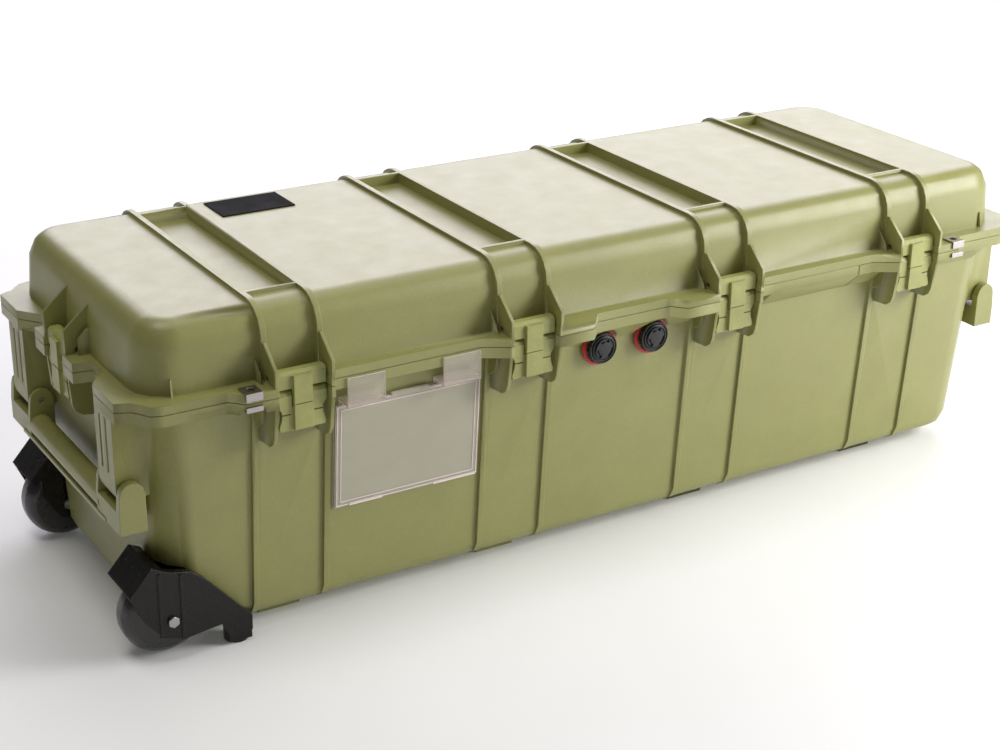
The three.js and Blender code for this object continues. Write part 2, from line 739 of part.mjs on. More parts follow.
// ---- handles, drawn for the left end ---------------------------------------------------------
function cheek(y0, y1) {
  const outline = [
    [-HANDLE_X[0], HANDLE_Z[0] + 1],
    [-HANDLE_X[0], HANDLE_PIVOT.z],
    ...arc(-HANDLE_PIVOT.x, HANDLE_PIVOT.z, HANDLE_CHEEK_R, 0, 180, 6),
    [-HANDLE_X[1], HANDLE_PIVOT.z - 16],
    [-HANDLE_X[1], HANDLE_Z[0] + 1],
  ];
  return prismY(outline, y0, y1);
}

function carryHandle() {
  const sides = [-1, 1].flatMap((s) =>
    [CHEEK_IN_Y, CHEEK_OUT_Y].map(([a, b]) => (s < 0 ? cheek(-b, -a) : cheek(a, b))),
  );
  const beams = [-1, 1].map((s) => {
    const [y0, y1] = s < 0 ? [-CHEEK_OUT_Y[1], -CHEEK_IN_Y[0]] : [CHEEK_IN_Y[0], CHEEK_OUT_Y[1]];
    return box(-HANDLE_X[1], -HANDLE_X[0], y0, y1, HANDLE_Z[0] + 1, HANDLE_Z[1]);
  });
  const grip = rodY(-CHEEK_IN_Y[1], CHEEK_IN_Y[1], -GRIP.x, GRIP.z, GRIP.r, 14);
  const lip = box(-HANDLE_X[1] - 1, -540, -119, 119, HANDLE_Z[0], HANDLE_Z[0] + 4);
  const bore = rodY(-154, 154, -HANDLE_PIVOT.x, HANDLE_PIVOT.z, HANDLE_PIN_R + CLEAR, 10);
  return cut(join(sides, beams, grip, lip), bore);
}

function handlePin(side) {
  const [y0, y1] = side < 0 ? [-153.5, -97] : [97, 153.5];
  return rodY(y0, y1, -HANDLE_PIVOT.x, HANDLE_PIVOT.z, HANDLE_PIN_R, 10);
}

// ---- wheels, drawn for the front corner ------------------------------------------------------
// Three shallow finger scallops across the lower part of the hood's sloping face.
function hoodScallops() {
  const slope = THREE.MathUtils.radToDeg(Math.atan2(23, 26));
  return GRIP_SCALLOPS_Y.map((y) =>
    rodZ(-9, 9, 0, 0, 5.5, 12).rotate([0, slope, 0]).translate([-555.8, y, 94.4]),
  );
}

function wheelHousing() {
  const face = [
    [-561, 81],
    [-538, 107],
    [-520, 98],
    [-498, 93],
    [-484, 81.5],
    [-447, 40],
    [-436.5, 29],
    [-436.5, 12],
    [-461.5, 12],
    [-468, 27],
    [-508, 22],
    [-530, 30],
    [-548, 52],
    [-556, 70],
  ];
  const hood = [
    [-561, 81],
    [-538, 107],
    [-526, 101],
    [-526, 94],
    [-519.5, 93.4],
    [-519.5, 91],
    [-537, 91],
    [-556, 75],
  ];
  const inner = [
    [-540, 94],
    [-521, 93],
    [-502, 88.5],
    [-487, 76],
    [-470.5, 52],
    [-470.5, 30],
    [-505, 22],
    [-530, 30],
    [-548, 60],
    [-548, 88],
  ];
  const body = join(
    prismY(face, -HOUSING_Y[1], -HOUSING_Y[0]),
    prismY(hood, -HOUSING_Y[1], -113.8),
    prismY(inner, -HOUSING_IN_Y[1], -HOUSING_IN_Y[0]),
    rodZ(0, 12.6, -449, -158, 12.5, 14),
    box(-461, -437, -HOUSING_Y[1] + 1, -158, 3, 12.6),
    HOUSING_RIBS.map(([x, z0, z1]) =>
      box(x - 1.6, x + 1.6, -HOUSING_Y[1] - 1.4, 1 - HOUSING_Y[1], z0, z1),
    ),
  );
  return cut(body, rodY(-200, -100, -WHEEL.x, WHEEL.z, AXLE_R + CLEAR), hoodScallops());
}

function wheel() {
  const { r, half } = WHEEL;
  const bore = AXLE_R + CLEAR;
  const profile = [
    [bore, -half],
    [34, -half],
    [40.5, -half + 5],
    [r, -half + 12],
    [r, half - 12],
    [40.5, half - 5],
    [34, half],
    [bore, half],
    [bore, -half],
  ];
  const points = profile.map(([x, y]) => new THREE.Vector2(x, y));
  return solid(new THREE.LatheGeometry(points, 24).translate(-WHEEL.x, -WHEEL.y, WHEEL.z));
}

function axleBolt() {
  const shaft = rodY(-173, -NUT_Y[0], -WHEEL.x, WHEEL.z, AXLE_R);
  const head = rodY(-175.5, -172.4, -WHEEL.x, WHEEL.z, BOLT_HEAD_R, 6);
  const nut = rodY(-NUT_Y[1], -NUT_Y[0], -WHEEL.x, WHEEL.z, 7, 6);
  return join(shaft, head, nut);
}

// ---- valves, holder, plates ------------------------------------------------------------------
function purgeKnob() {
  const disc = rodY(-KNOB.face + 2, -KNOB.back, 0, 0, KNOB.r, 20);
  const face = rodY(-KNOB.face, -KNOB.face + 3, 0, 0, KNOB.r - 2, 20);
  const slots = [0, 1, 2].map((i) => {
    const angle = 90 + i * 120;
    const outline = [...arc(0, 0, 10, angle - 30, angle + 30, 3), ...arc(0, 0, 8, angle + 30, angle - 30, 3)];
    return prismY(outline, -KNOB.face - 1, -KNOB.face + 2);
  });
  return cut(join(disc, face), slots);
}

const purgeSeal = () =>
  solid(new THREE.TorusGeometry(KNOB.seal, 1.9, 6, 24).rotateX(Math.PI / 2).translate(0, -173.1, 0));

function purgeValveBody() {
  const stem = rodY(-174.9, -160, 0, 0, VALVE_R, 14);
  const nut = rodY(-163.6, -159, 0, 0, 13, 6);
  return join(stem, nut);
}

const DRAFT = Math.atan((TUB_TOP.y - TUB_FLOOR.y) / (PARTING_Z - FLANGE_H - TUB_FLOOR_Z));

// The holder leans with the wall: turned about its top edge.
function leaned(body) {
  const [y, z] = [-tubWallY(HOLDER.z1), HOLDER.z1];
  return body.translate([0, -y, -z]).rotate([THREE.MathUtils.radToDeg(DRAFT), 0, 0]).translate([0, y, z]);
}

function documentFrame() {
  const { x0, x1, z0, z1 } = HOLDER;
  const y = -tubWallY(z1);
  const outer = box(x0, x1, y - 2, y - 0.5, z0, z1);
  const hole = box(x0 + 9, x1 - 9, y - 5, y + 3, z0 + 9, z1 - 9);
  const tabs = [
    [x0 + 5, x0 + 46],
    [x1 - 55, x1 - 12.5],
  ].flatMap(([a, b]) => [
    box(a, b, -HOLDER_TAB.y1, -HOLDER_TAB.y0, HOLDER_TAB.z0, HOLDER_TAB.z1),
    box(a, b, -HOLDER_TAB.y1, y - 0.6, HOLDER_TAB.z0 - 3, HOLDER_TAB.z0),
    box(a, b, y - 2, y - 0.6, z1 - 3, HOLDER_TAB.z0 - 1),
  ]);
  return join(leaned(cut(outer, hole)), tabs);
}

function documentWindow() {
  const { x0, x1, z0, z1 } = HOLDER;
  const y = -tubWallY(z1);
  const pane = box(x0 + 1, x1 - 1, y - 4, y - 2.4, z0 + 1, z1 - 1);
  const catchTab = box(x0 + 62, x0 + 104, y - 5.4, y - 2.4, z1 - 3, z1 + 1.5);
  return leaned(join(pane, catchTab));
}

function padlockPlate(up) {
  const { x, y, half, hole } = PADLOCK;
  const face = PARTING_Z + up * (up > 0 ? LID_FLANGE_H : PADLOCK.flange);
  const near = face + up * CLEAR;
  const far = near + up * 1.5;
  const [z0, z1] = [Math.min(near, far), Math.max(near, far)];
  const leaf = box(-x - half, -x + half, -BLOCK_Y, -y + 9, z0, z1);
  const edge = PARTING_Z + up * 2.8;
  const [f0, f1] = [Math.min(edge, far), Math.max(edge, far)];
  const front = box(-x - half, -x + half, -BLOCK_Y - 1.8, -BLOCK_Y - CLEAR, f0, f1);
  const bridge = box(-x - half, -x + half, -BLOCK_Y - 1, -BLOCK_Y + 1, z0, z1);
  return cut(join(leaf, front, bridge), rodZ(200, 300, -x, -y, hole, 12));
}

const labelPlate = () => box(LABEL.x0, LABEL.x1, LABEL.y0, LABEL.y1, LID_TOP_Z + CLEAR, LID_TOP_Z + 1.3);

// ---- foam -------------------------------------------------------------------------------------
function baseFoam() {
  const floor = TUB_FLOOR_Z + WALL + CLEAR;
  const edge = TUB_EDGE_R - WALL;
  const rings = ROUND_ANGLES.map((a) =>
    tubWall(floor + edge * (1 - Math.cos(a)), WALL + 0.6 + edge * (1 - Math.sin(a))),
  );
  return cut(loft([...rings, tubWall(43, WALL + 0.6)]), wheelWells(WALL + 0.6));
}

const lidFoam = () => loft([lidWall(309, 9.5), lidWall(318, 9.5), lidWall(332.4, 23)]);

// ---- assembly ----------------------------------------------------------------------------------
const equipmentCase = new THREE.Group();

equipmentCase.add(mesh('base_shell', baseShell(), OLIVE));
equipmentCase.add(mesh('lid_shell', lidShell(), OLIVE));
equipmentCase.add(mesh('lid_seal', sealRing(0, SEAL_SECTION.z0, SEAL_SECTION.z1), SEAL));
equipmentCase.add(mesh('base_foam', baseFoam(), FOAM));
equipmentCase.add(mesh('lid_foam', lidFoam(), FOAM));
equipmentCase.add(mesh('lid_label_plate', labelPlate(), LABEL_BLACK));

const latchParts = [
  ['latch_hook', latchHook(), OLIVE],
  ['latch_lever', latchLever(), OLIVE],
  ['latch_pin', latchPin(), STEEL],
  ['lever_pin', leverPin(), STEEL],
];
latchPlaces().forEach((place, i) => {
  const latch = new THREE.Group();
  latch.position.set(place.x, place.y, LATCH_PIVOT_Z);
  latch.rotation.z = place.turn;
  latchParts.forEach(([name, body, look]) => latch.add(mesh(`${name}_${LATCH_NAMES[i]}`, body, look)));
  equipmentCase.add(latch);
});

PAIR_X.forEach((c, i) => {
  const pin = rodX(c - HINGE_LUG_OUT + 0.4, c + HINGE_LUG_OUT - 0.4, HINGE_Y, PARTING_Z, HINGE_PIN_R, 12);
  equipmentCase.add(mesh(`hinge_pin_${i + 1}`, pin, STEEL));
});

const ENDS = [
  ['left', (body) => body],
  ['right', (body) => body.mirror([1, 0, 0])],
];
ENDS.forEach(([end, flip]) => {
  equipmentCase.add(mesh(`carry_handle_${end}`, flip(carryHandle()), OLIVE));
  equipmentCase.add(mesh(`handle_pin_${end}_front`, flip(handlePin(-1)), STEEL));
  equipmentCase.add(mesh(`handle_pin_${end}_back`, flip(handlePin(1)), STEEL));
  equipmentCase.add(mesh(`padlock_plate_upper_${end}`, flip(padlockPlate(1)), STEEL));
  equipmentCase.add(mesh(`padlock_plate_lower_${end}`, flip(padlockPlate(-1)), STEEL));
});

const CORNERS = [
  ['front', (body) => body],
  ['back', (body) => body.mirror([0, 1, 0])],
];
CORNERS.forEach(([corner, flip]) => {
  equipmentCase.add(mesh(`wheel_housing_${corner}`, flip(wheelHousing()), BLACK));
  equipmentCase.add(mesh(`wheel_${corner}`, flip(wheel()), WHEEL_BLACK));
  equipmentCase.add(mesh(`axle_bolt_${corner}`, flip(axleBolt()), STEEL));
});

[-1, 1].forEach((s, i) => {
  const valve = new THREE.Group();
  valve.position.set(s * KNOB.x, 0, KNOB.z);
  valve.add(mesh(`purge_knob_${i + 1}`, purgeKnob(), BLACK));
  valve.add(mesh(`purge_seal_${i + 1}`, purgeSeal(), RED));
  valve.add(mesh(`purge_valve_body_${i + 1}`, purgeValveBody(), BLACK));
  equipmentCase.add(valve);
});

equipmentCase.add(mesh('document_frame', documentFrame(), CLEAR_PLASTIC));
equipmentCase.add(mesh('document_window', documentWindow(), CLEAR_PLASTIC));

export default equipmentCase;
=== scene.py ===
import math
import bmesh
import bpy
from mathutils import Matrix, Vector


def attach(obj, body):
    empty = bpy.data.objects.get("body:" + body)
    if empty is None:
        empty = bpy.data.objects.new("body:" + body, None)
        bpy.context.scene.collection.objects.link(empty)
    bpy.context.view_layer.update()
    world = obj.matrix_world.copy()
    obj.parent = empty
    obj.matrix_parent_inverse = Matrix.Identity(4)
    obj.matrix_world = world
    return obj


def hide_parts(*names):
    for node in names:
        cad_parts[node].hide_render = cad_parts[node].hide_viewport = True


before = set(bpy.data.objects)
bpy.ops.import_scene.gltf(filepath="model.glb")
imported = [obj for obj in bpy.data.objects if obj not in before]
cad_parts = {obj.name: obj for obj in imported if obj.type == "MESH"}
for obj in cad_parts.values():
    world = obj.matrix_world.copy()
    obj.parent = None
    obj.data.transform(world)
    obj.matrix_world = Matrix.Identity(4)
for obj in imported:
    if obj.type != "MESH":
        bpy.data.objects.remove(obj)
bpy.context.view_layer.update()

# Meshes below are drawn in millimetres and scaled by MM. Material and light numbers are in metres.
MM = 0.001
TURN = 2.0 * math.pi


# ---- materials -------------------------------------------------------------------------------
class Nodes:
    """Builds one procedural material: a Principled shader plus the nodes that feed it."""

    def __init__(self, name):
        self.mat = bpy.data.materials.new(name)
        self.mat.use_nodes = True
        self.tree = self.mat.node_tree
        self.shader = self.tree.nodes["Principled BSDF"]
        self.coord = self.tree.nodes.new("ShaderNodeTexCoord").outputs["Object"]

    def link(self, out, to):
        self.tree.links.new(out, to)

    def feed(self, socket, out):
        self.link(out, self.shader.inputs[socket])

    def set(self, **values):
        for key, value in values.items():
            self.shader.inputs[key.replace("_", " ")].default_value = value
        return self

    def stretched(self, scale):
        node = self.tree.nodes.new("ShaderNodeMapping")
        node.inputs["Scale"].default_value = scale
        self.link(self.coord, node.inputs["Vector"])
        return node.outputs["Vector"]

    def noise(self, scale, detail=3.0, rough=0.6, vector=None):
        node = self.tree.nodes.new("ShaderNodeTexNoise")
        node.inputs["Scale"].default_value = scale
        node.inputs["Detail"].default_value = detail
        node.inputs["Roughness"].default_value = rough
        self.link(vector or self.coord, node.inputs["Vector"])
        return node.outputs["Fac"]

    def cells(self, scale):
        node = self.tree.nodes.new("ShaderNodeTexVoronoi")
        node.inputs["Scale"].default_value = scale
        self.link(self.coord, node.inputs["Vector"])
        return node.outputs["Distance"]

    def spread(self, value, lo, hi, out_lo=0.0, out_hi=1.0):
        """Maps lo..hi to out_lo..out_hi."""
        node = self.tree.nodes.new("ShaderNodeMapRange")
        for key, v in zip(("From Min", "From Max", "To Min", "To Max"), (lo, hi, out_lo, out_hi)):
            node.inputs[key].default_value = v
        self.link(value, node.inputs["Value"])
        return node.outputs["Result"]

    def mix(self, factor, a, b):
        """Mixes two colours; each of them may be a colour or another node's output."""
        node = self.tree.nodes.new("ShaderNodeMix")
        node.data_type = "RGBA"
        self.link(factor, node.inputs[0])
        for key, v in ((6, a), (7, b)):
            if hasattr(v, "default_value"):
                self.link(v, node.inputs[key])
            else:
                node.inputs[key].default_value = (*v, 1.0)
        return node.outputs[2]

    def bump(self, height, strength, distance, under=None):
        node = self.tree.nodes.new("ShaderNodeBump")
        node.inputs["Strength"].default_value = strength
        node.inputs["Distance"].default_value = distance
        self.link(height, node.inputs["Height"])
        if under is not None:
            self.link(under, node.inputs["Normal"])
        return node.outputs["Normal"]

    def soft_edges(self, radius):
        node = self.tree.nodes.new("ShaderNodeBevel")
        node.samples = 6
        node.inputs["Radius"].default_value = radius
        return node.outputs["Normal"]


def times(color, factor):
    return tuple(c * factor for c in color)


def plastic(name, color, roughness, grain, strength, radius, worn=None, mottle=0.12, coat=0.0, level=0.5):
    """Moulded plastic: blotches and fine specks of tone, scuffs, a pebbled grain and slight waviness."""
    n = Nodes(name)
    pale = tuple(min(1.0, c) for c in times(color, 1.0 + mottle))
    blotches = n.spread(n.noise(scale=22.0, detail=5.0), 0.25, 0.75)
    tone = n.mix(blotches, times(color, 1.0 - mottle), pale)
    specks = n.spread(n.noise(scale=grain * 0.5, detail=2.0), 0.35, 0.65, out_hi=0.22)
    tone = n.mix(specks, tone, times(color, 0.72))
    if worn:
        scuffs = n.spread(n.noise(scale=60.0, detail=5.0, rough=0.7), 0.66, 0.74, out_hi=0.25)
        tone = n.mix(scuffs, tone, worn)
    n.feed("Base Color", tone)
    patches = n.noise(scale=35.0, detail=4.0)
    n.feed("Roughness", n.spread(patches, 0.3, 0.7, roughness - 0.05, roughness + 0.07))
    pebbles = n.bump(n.cells(grain), strength, 0.0004, n.soft_edges(radius))
    n.feed("Normal", n.bump(n.noise(scale=14.0), strength=0.05, distance=0.004, under=pebbles))
    return n.set(Specular_IOR_Level=level, Coat_Weight=coat, Coat_Roughness=0.38).mat


def steel(name, color, roughness=0.28):
    """Brushed steel; the brushing runs along x."""
    n = Nodes(name)
    brushed = n.noise(scale=3.0, detail=4.0, rough=0.7, vector=n.stretched((40, 900, 900)))
    n.feed("Base Color", n.mix(n.spread(brushed, 0.3, 0.7), times(color, 0.82), color))
    n.feed("Roughness", n.spread(brushed, 0.3, 0.7, roughness - 0.08, roughness + 0.12))
    n.feed("Normal", n.bump(brushed, strength=0.12, distance=0.0002, under=n.soft_edges(0.0005)))
    return n.set(Metallic=1.0).mat


def clear(name, color, alpha, smoky):
    """Clear plastic: see-through by alpha, which drifts by smoky either way."""
    n = Nodes(name)
    cloudy = n.noise(scale=16.0, detail=4.0)
    n.feed("Base Color", n.mix(n.spread(cloudy, 0.3, 0.7), times(color, 0.97), color))
    n.feed("Alpha", n.spread(cloudy, 0.3, 0.7, alpha - smoky, alpha + smoky))
    n.feed("Roughness", n.spread(n.noise(scale=120.0), 0.4, 0.7, 0.1, 0.22))
    n.feed("Normal", n.bump(n.noise(scale=28.0, detail=2.0), strength=0.08, distance=0.002))
    return n.set(Coat_Weight=0.6, Coat_Roughness=0.05).mat


def foam(name, deep, top):
    """Open-cell foam: deep is the colour painted inside a pore as shade, top the colour between pores."""
    n = Nodes(name)
    pores = n.cells(520.0)
    # Painted shade: each pore darkens towards its centre.
    n.feed("Base Color", n.mix(n.spread(pores, 0.0, 0.55), deep, top))
    n.feed("Normal", n.bump(pores, strength=0.9, distance=0.0012))
    n.feed("Roughness", n.spread(n.noise(scale=200.0), 0.3, 0.7, 0.88, 1.0))
    return n.mat


# name, colour, roughness, grain scale, grain strength, edge radius in metres
OLIVE = plastic("olive_moulded", (0.262, 0.262, 0.077), 0.46, 950.0, 0.3, 0.0014,
                worn=(0.34, 0.34, 0.18), mottle=0.07, coat=0.5)
OLIVE_SMOOTH = plastic("olive_latch", (0.315, 0.325, 0.1), 0.44, 420.0, 0.24, 0.0009,
                       worn=(0.38, 0.39, 0.19), mottle=0.2, coat=0.2)
BLACK = plastic("black_moulded", (0.0065, 0.0055, 0.004), 0.27, 1100.0, 0.1, 0.0014,
                worn=(0.014, 0.013, 0.011), level=0.34)
WHEEL = plastic("wheel_tread", (0.016, 0.0145, 0.013), 0.26, 1500.0, 0.08, 0.001, coat=0.3)
KNOB = plastic("knob_black", (0.011, 0.0108, 0.011), 0.33, 1400.0, 0.12, 0.0005)
RED = plastic("seal_red", (0.62, 0.018, 0.045), 0.32, 1300.0, 0.1, 0.0004)
SEAL = plastic("seal_black", (0.012, 0.012, 0.012), 0.6, 800.0, 0.2, 0.0004)
LABEL = plastic("label_black", (0.006, 0.006, 0.0065), 0.75, 1500.0, 0.06, 0.0003, level=0.06)
STEEL = steel("stainless", (0.46, 0.43, 0.42))
CLEAR = clear("holder_clear", (0.66, 0.60, 0.50), alpha=0.3, smoky=0.02)
# The window sheet's pale tone is partly a painted reflection of the bright surroundings, laid over the
# clear sheet.
PANE_AND_REFLECTION = clear("holder_pane_and_reflection", (0.58, 0.55, 0.43), alpha=0.56, smoky=0.02)
# The brighter sheet material is a painted highlight for the thin sides and lips that catch the light.
EDGE_HIGHLIGHT = clear("holder_edge_painted_highlight", (0.92, 0.80, 0.76), alpha=0.82, smoky=0.05)
FOAM = foam("foam_grey", (0.008, 0.008, 0.009), (0.045, 0.046, 0.05))


# ---- pieces ----------------------------------------------------------------------------------
def piece(name, bm, materials, body, nodes=(), crease=38.0, weighted=True):
    """Turns bm into an object that rides on body and stands in for the CAD nodes.

    Edges sharper than crease degrees stay sharp; weighted normals keep flat walls flat.
    """
    bmesh.ops.recalc_face_normals(bm, faces=bm.faces)
    mesh = bpy.data.meshes.new(name)
    bm.to_mesh(mesh)
    bm.free()
    for p in mesh.polygons:
        p.use_smooth = True
    mesh.set_sharp_from_angle(angle=math.radians(crease))
    obj = bpy.data.objects.new(name, mesh)
    bpy.context.scene.collection.objects.link(obj)
    for m in materials:
        mesh.materials.append(m)
    if weighted:
        mod = obj.modifiers.new("normals", "WEIGHTED_NORMAL")
        mod.keep_sharp = True
        mod.weight = 80
    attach(obj, body)
    if nodes:
        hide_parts(*nodes)
    return obj


def join_rings(bm, near, far):
    """Joins two rings of equally many vertices with a band of quads."""
    for a in range(len(near)):
        b = (a + 1) % len(near)
        bm.faces.new((near[a], near[b], far[b], far[a]))


def from_node(node):
    """A cleaned copy of a CAD node's faces, with flat areas merged."""
    bm = bmesh.new()
    bm.from_mesh(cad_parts[node].data)
    bmesh.ops.remove_doubles(bm, verts=bm.verts, dist=1e-6)
    bmesh.ops.dissolve_limit(bm, angle_limit=math.radians(0.8), verts=bm.verts, edges=bm.edges)
    return bm


def round_edges(bm, width, sharper_than=32.0):
    """Rounds the edges sharper than the given angle, clamped so small details keep their shape."""
    bm.normal_update()
    edges = [
        e for e in bm.edges
        if len(e.link_faces) == 2 and e.calc_face_angle(0.0) > math.radians(sharper_than)
    ]
    bmesh.ops.bevel(bm, geom=edges, offset=width, offset_type="OFFSET", segments=2,
                    profile=0.5, affect="EDGES", clamp_overlap=True)
    return bm


def rounded_copy(node, width, materials, body):
    """The CAD node's form with its edges rounded by width, in metres."""
    return piece("v_" + node, round_edges(from_node(node), width), materials, body, [node])


LATCHES = ["front_1", "front_2", "front_3", "front_4", "end_left", "end_right"]

# The shells keep their CAD form, edges included.
piece("v_base_shell", from_node("base_shell"), [OLIVE], "base", ["base_shell"])
piece("v_lid_shell", from_node("lid_shell"), [OLIVE], "lid", ["lid_shell"])
for end in ("left", "right"):
    rounded_copy("carry_handle_" + end, 0.0012, [OLIVE], "handle_" + end)
for latch in LATCHES:
    rounded_copy("latch_hook_" + latch, 0.001, [OLIVE_SMOOTH], "hook_" + latch)
    rounded_copy("latch_lever_" + latch, 0.001, [OLIVE_SMOOTH], "lever_" + latch)
for corner in ("front", "back"):
    rounded_copy("wheel_housing_" + corner, 0.0014, [BLACK], "base")
    rounded_copy("axle_bolt_" + corner, 0.0004, [STEEL], "base")

# ---- wheels
WHEEL_X, WHEEL_Y, WHEEL_Z = -519.0, 141.5, 45.0
WHEEL_STEPS = 72
# Section as (radius, offset along the axle), closed round the bore.
WHEEL_SECTION = [
    (5.3, -18.0), (33.6, -18.0), (35.6, -16.7), (38.0, -14.9), (40.2, -13.0), (41.9, -9.6),
    (43.1, -6.8), (43.5, -4.5), (43.5, 4.5), (43.1, 6.8), (41.9, 9.6), (40.2, 13.0), (38.0, 14.9),
    (35.6, 16.7), (33.6, 18.0), (5.3, 18.0),
]


def wheel_tyre(corner, centre_y):
    """One smooth wheel turned about its axle."""
    bm = bmesh.new()
    rows = [
        [
            bm.verts.new(Vector((
                WHEEL_X + radius * math.cos(TURN * k / WHEEL_STEPS),
                centre_y + offset,
                WHEEL_Z + radius * math.sin(TURN * k / WHEEL_STEPS),
            )) * MM)
            for k in range(WHEEL_STEPS)
        ]
        for radius, offset in WHEEL_SECTION
    ]
    for near, far in zip(rows, rows[1:] + rows[:1]):
        join_rings(bm, near, far)
    piece("v_wheel_" + corner, bm, [WHEEL], "wheel_" + corner, ["wheel_" + corner])


wheel_tyre("front", -WHEEL_Y)
wheel_tyre("back", WHEEL_Y)

# ---- valve knobs
KNOB_X, KNOB_Z = 33.0, 233.5
KNOB_STEPS = 120
KNOB_CREASE = 30.0
# Section as (radius, distance in front of the case's middle plane), back to front.
KNOB_SECTION = [
    (16.4, 175.4), (17.4, 176.4), (17.4, 180.4), (16.5, 181.6), (15.6, 181.6), (15.2, 180.5),
    (14.2, 180.5), (13.8, 182.1), (12.6, 182.5), (12.0, 181.4), (11.2, 181.4), (10.8, 183.2),
    (10.3, 183.7), (8.0, 183.7), (7.4, 183.7), (6.6, 184.0), (0.8, 184.0),
]
# Ribs round the rim: two steps in every four are cut back. Rows are counted along the section.
RIB_ROWS, RIB_PITCH, RIB_CUT = (1, 2), 4, 0.55
# Three arc slots round the centre cap, the first one straight up. Angles in degrees.
SLOT_ROWS, SLOT_PITCH, SLOT_FIRST, SLOT_HALF, SLOT_DEPTH = (12, 13), 120.0, 90.0, 31.0, 1.7


def knob_point(row, step, centre_x):
    """Where one vertex of a knob lies, in metres."""
    radius, out = KNOB_SECTION[row]
    turn = TURN * step / KNOB_STEPS
    if row in RIB_ROWS and step % RIB_PITCH < RIB_PITCH // 2:
        radius -= RIB_CUT
    from_slot = (math.degrees(turn) - SLOT_FIRST) % SLOT_PITCH
    if row in SLOT_ROWS and min(from_slot, SLOT_PITCH - from_slot) < SLOT_HALF:
        out -= SLOT_DEPTH
    return Vector((centre_x + radius * math.cos(turn), -out, KNOB_Z + radius * math.sin(turn))) * MM


def purge_knob(index, centre_x):
    bm = bmesh.new()
    rows = [
        [bm.verts.new(knob_point(row, step, centre_x)) for step in range(KNOB_STEPS)]
        for row in range(len(KNOB_SECTION))
    ]
    for near, far in zip(rows, rows[1:]):
        join_rings(bm, near, far)
    bm.faces.new(rows[-1])
    bm.faces.new(rows[0][::-1])
    name = "purge_knob_" + index
    piece("v_" + name, bm, [KNOB], "knob_" + index, [name], KNOB_CREASE)


purge_knob("1", -KNOB_X)
purge_knob("2", KNOB_X)

# ---- document holder
WINDOW_X = (-341.0, -177.0)
WINDOW_Z = (118.0, 232.0)
# The tub's front wall is WALL_Y in front of the middle plane at height WALL_Z and leans outward.
WALL_Y, WALL_Z, WALL_SLOPE = 155.5, 13.0, 15.5 / 244.3
# How far the window's front face stands off the wall, along y.
PANE_OFF = 4.15
LIP_INSETS, LIP_HALF, LIP_DEEP = (1.8, 6.0), 0.6, 0.5
CATCHES_X, CATCH_Z, CATCH_HALF, CATCH_DEEP = ((-325.0, -288.0), (-229.0, -180.0)), 119.4, 1.6, 1.1
# A lip's front is this fraction of its foot's width.
LIP_TAPER = 0.6
# A face whose normal's y part is smaller than this is a thin side of a sheet.
SIDE_NORMAL = 0.75


def holder_part(node, face, body):
    """A clear sheet whose thin sides get a brighter material, a painted highlight where they catch the
    light.
    """
    obj = rounded_copy(node, 0.0005, [face, EDGE_HIGHLIGHT], body)
    for p in obj.data.polygons:
        p.material_index = 1 if abs(p.normal.y) < SIDE_NORMAL else 0


def pane_y(z):
    """The window's front face at height z."""
    return -(WALL_Y + (z - WALL_Z) * WALL_SLOPE) - PANE_OFF


def lip(bm, x0, z0, x1, z1, half, deep):
    """A thin moulded bar from (x0, z0) to (x1, z1) lying on the window."""
    along = Vector((x1 - x0, 0.0, z1 - z0)).normalized()
    across = Vector((-along.z, 0.0, along.x)) * half
    rings = []
    for x, z in ((x0, z0), (x1, z1)):
        foot = Vector((x, pane_y(z), z))
        front = foot - Vector((0.0, deep, 0.0))
        ring = [foot - across, front - across * LIP_TAPER, front + across * LIP_TAPER, foot + across]
        rings.append([bm.verts.new(v * MM) for v in ring])
    join_rings(bm, *rings)
    bm.faces.new(rings[0][::-1])
    bm.faces.new(rings[1])


def holder_lips():
    """Lips round the window's rim, and the two catches along its lower edge, all in the painted-highlight
    material.
    """
    bm = bmesh.new()
    for inset in LIP_INSETS:
        x0, x1 = WINDOW_X[0] + inset, WINDOW_X[1] - inset
        z0, z1 = WINDOW_Z[0] + inset, WINDOW_Z[1] - inset
        corners = [(x0, z0), (x1, z0), (x1, z1), (x0, z1)]
        for a, b in zip(corners, corners[1:] + corners[:1]):
            lip(bm, *a, *b, LIP_HALF, LIP_DEEP)
    for x0, x1 in CATCHES_X:
        lip(bm, x0, CATCH_Z, x1, CATCH_Z, CATCH_HALF, CATCH_DEEP)
    piece("holder_lips", bm, [EDGE_HIGHLIGHT], "window", crease=30.0, weighted=False)


holder_part("document_frame", CLEAR, "base")
holder_part("document_window", PANE_AND_REFLECTION, "window")
holder_lips()

# ---- CAD nodes that are shown as they are
for name, material in (
    [("lid_seal", SEAL), ("base_foam", FOAM), ("lid_foam", FOAM), ("lid_label_plate", LABEL)]
    + [("purge_seal_" + i, RED) for i in "12"]
    + [("purge_valve_body_" + i, KNOB) for i in "12"]
    + [("hinge_pin_" + i, STEEL) for i in "1234"]
    + [("latch_pin_" + x, STEEL) for x in LATCHES]
    + [("lever_pin_" + x, STEEL) for x in LATCHES]
    + [(f"handle_pin_{e}_{c}", STEEL) for e in ("left", "right") for c in ("front", "back")]
    + [(f"padlock_plate_{u}_{e}", STEEL) for u in ("upper", "lower") for e in ("left", "right")]
):
    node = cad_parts[name]
    node.data.materials.clear()
    node.data.materials.append(material)


# ---- stage, light, camera ----------------------------------------------------------------------
FLOOR_HALF = 14.0
WORLD_STRENGTH = 0.11

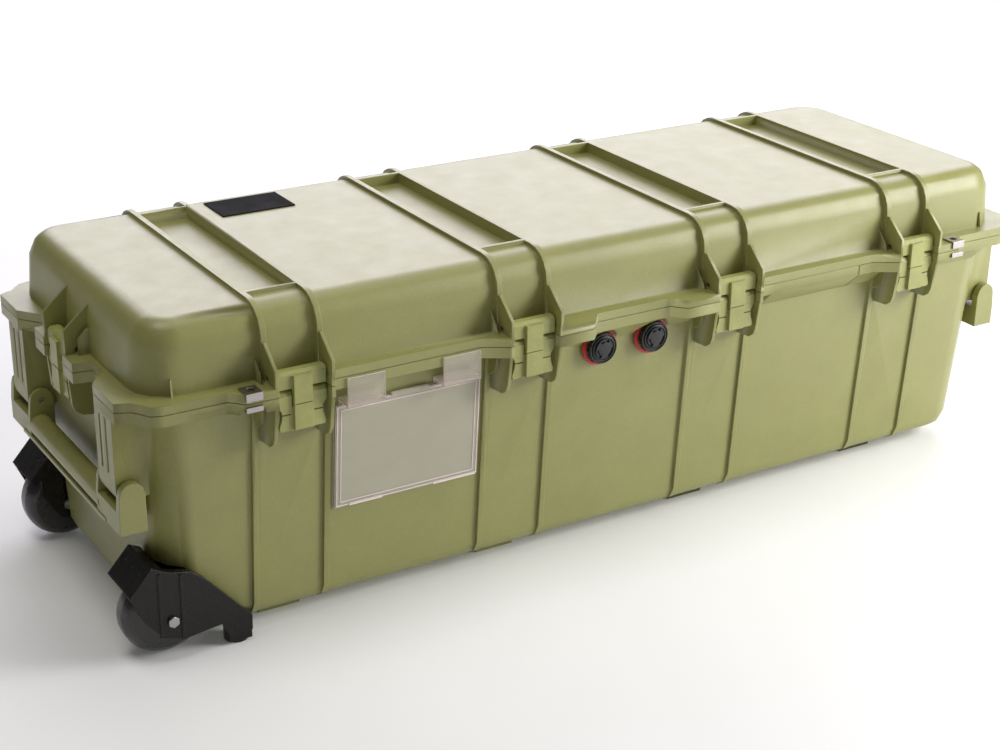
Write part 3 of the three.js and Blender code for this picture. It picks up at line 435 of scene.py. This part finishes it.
# name, position, aim, (width, height), watts, colour
LAMPS = [
    ("overhead_back", (1.3, 2.3, 1.6), (0, 0, 0.3), (3.8, 1.9), 80.0, (1.0, 0.955, 1.08)),
    ("front_right", (1.6, -1.25, 0.95), (0.62, 0, 0.2), (1.1, 1.3), 50.0, (1.0, 0.99, 0.98)),
    ("front_fill", (-1.2, -3.2, 1.6), (-0.1, 0, 0.15), (2.4, 2.0), 1.0, (1, 1, 1)),
    ("top_left", (-0.95, -0.15, 2.2), (-0.45, 0, 0.25), (1.0, 0.8), 14.0, (1.0, 0.97, 0.95)),
    ("top", (0.5, 0.1, 2.6), (0.1, 0, 0), (2.2, 1.4), 16.0, (1.0, 0.99, 1.0)),
]

CAMERA_AT = (-1.08626, -1.67474, 0.97766)
# Azimuth, elevation and roll, in degrees.
CAMERA_ANGLES = (-31.8202, 23.041, -0.8916)
SENSOR_WIDTH = 36.0
# Focal length in pixels of an image IMAGE_WIDTH pixels wide.
FOCAL, IMAGE_WIDTH = 1889.2038, 1000.0


def floor():
    bm = bmesh.new()
    bmesh.ops.create_grid(bm, x_segments=1, y_segments=1, size=FLOOR_HALF)
    mesh = bpy.data.meshes.new("floor")
    bm.to_mesh(mesh)
    bm.free()
    obj = bpy.data.objects.new("floor", mesh)
    bpy.context.scene.collection.objects.link(obj)
    n = Nodes("floor_white")
    blotches = n.spread(n.noise(scale=2.0), 0.3, 0.7)
    n.feed("Base Color", n.mix(blotches, (0.88, 0.88, 0.88), (0.92, 0.92, 0.92)))
    n.set(Roughness=0.9, Emission_Color=(1, 1, 1, 1), Emission_Strength=0.05)
    mesh.materials.append(n.mat)


def lamp(name, at, aim, size, power, color):
    data = bpy.data.lights.new(name, "AREA")
    data.shape = "RECTANGLE"
    data.size, data.size_y = size
    data.energy = power
    data.color = color
    obj = bpy.data.objects.new(name, data)
    obj.location = at
    obj.rotation_mode = "QUATERNION"
    obj.rotation_quaternion = (Vector(aim) - Vector(at)).to_track_quat("-Z", "Y")
    bpy.context.scene.collection.objects.link(obj)


def camera():
    azimuth, elevation, roll = (math.radians(v) for v in CAMERA_ANGLES)
    back = Vector((math.sin(azimuth) * math.cos(elevation),
                   -math.cos(azimuth) * math.cos(elevation), math.sin(elevation)))
    right = (-back).cross(Vector((0, 0, 1))).normalized()
    up = back.cross(right)
    # The camera's own right and up after its small roll.
    r = right * math.cos(roll) - up * math.sin(roll)
    u = right * math.sin(roll) + up * math.cos(roll)
    data = bpy.data.cameras.new("camera")
    data.sensor_width = SENSOR_WIDTH
    data.lens = FOCAL * SENSOR_WIDTH / IMAGE_WIDTH
    obj = bpy.data.objects.new("camera", data)
    obj.matrix_world = Matrix((
        (r.x, u.x, back.x, CAMERA_AT[0]),
        (r.y, u.y, back.y, CAMERA_AT[1]),
        (r.z, u.z, back.z, CAMERA_AT[2]),
        (0, 0, 0, 1),
    ))
    bpy.context.scene.collection.objects.link(obj)
    bpy.context.scene.camera = obj


floor()
for row in LAMPS:
    lamp(*row)
world = bpy.data.worlds.new("world")
bpy.context.scene.world = world
world.use_nodes = True
world.node_tree.nodes["Background"].inputs["Color"].default_value = (1, 1, 1, 1)
world.node_tree.nodes["Background"].inputs["Strength"].default_value = WORLD_STRENGTH
bpy.context.scene.view_settings.view_transform = "Standard"
camera()
